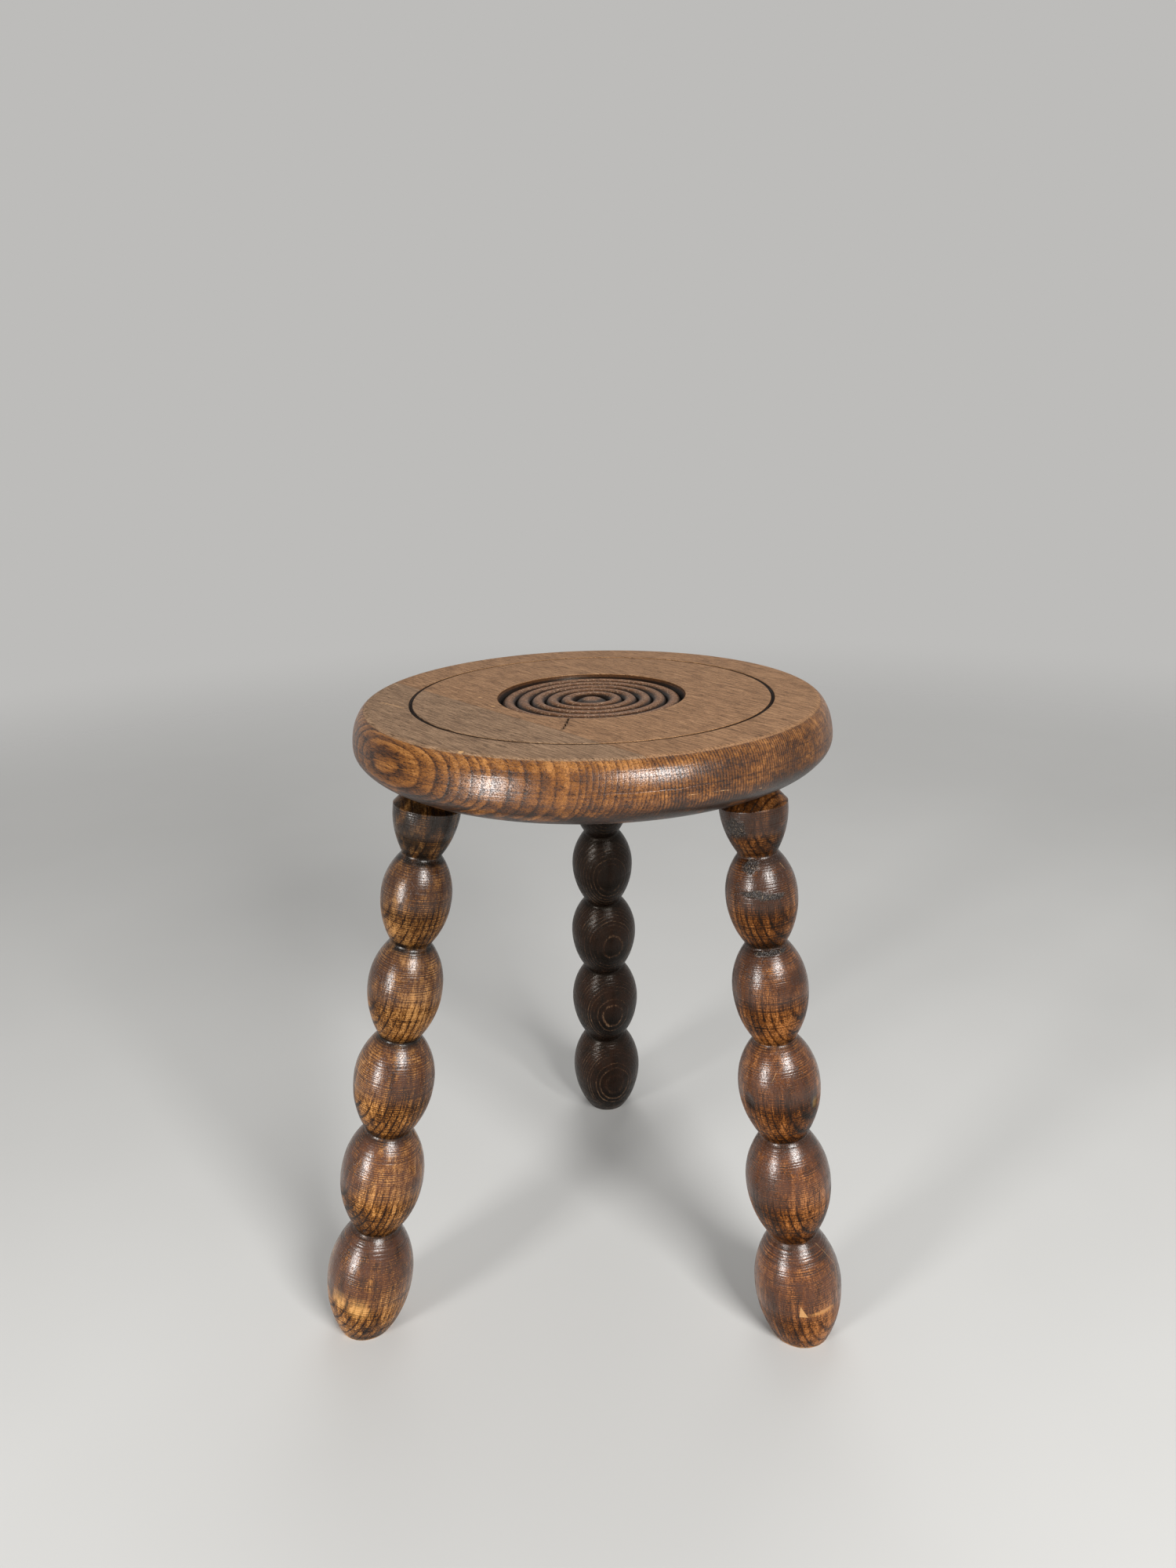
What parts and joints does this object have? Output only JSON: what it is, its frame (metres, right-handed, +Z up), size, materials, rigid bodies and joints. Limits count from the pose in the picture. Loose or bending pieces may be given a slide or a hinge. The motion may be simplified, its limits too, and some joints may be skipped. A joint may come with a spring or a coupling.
{
  "type": "stool",
  "caption": "Low round stool of dark-stained hardwood: thick bullnosed seat with a recess of turned rings, on splayed legs turned as strings of beads.",
  "frame": {"origin": "on the floor, under the middle of the stool's box; the seat's axis stands 17 mm towards +X and 33 mm towards -Y from it", "axes": "+Z up, -Y towards the viewer of the picture, +X to the viewer's right"},
  "size_m": [0.3678, 0.384, 0.45],
  "materials": {
    "seat_wood": "dark stain, satin on the edge and worn dull on the top",
    "leg_wood": "dark stain under a glossy varnish, with fine turning lines"
  },
  "bodies": {
    "root": {"seat_board_wide": "seat_wood", "seat_board_narrow": "seat_wood", "leg_rear": "leg_wood", "leg_left": "leg_wood", "leg_right": "leg_wood"}
  },
  "joints": []
}
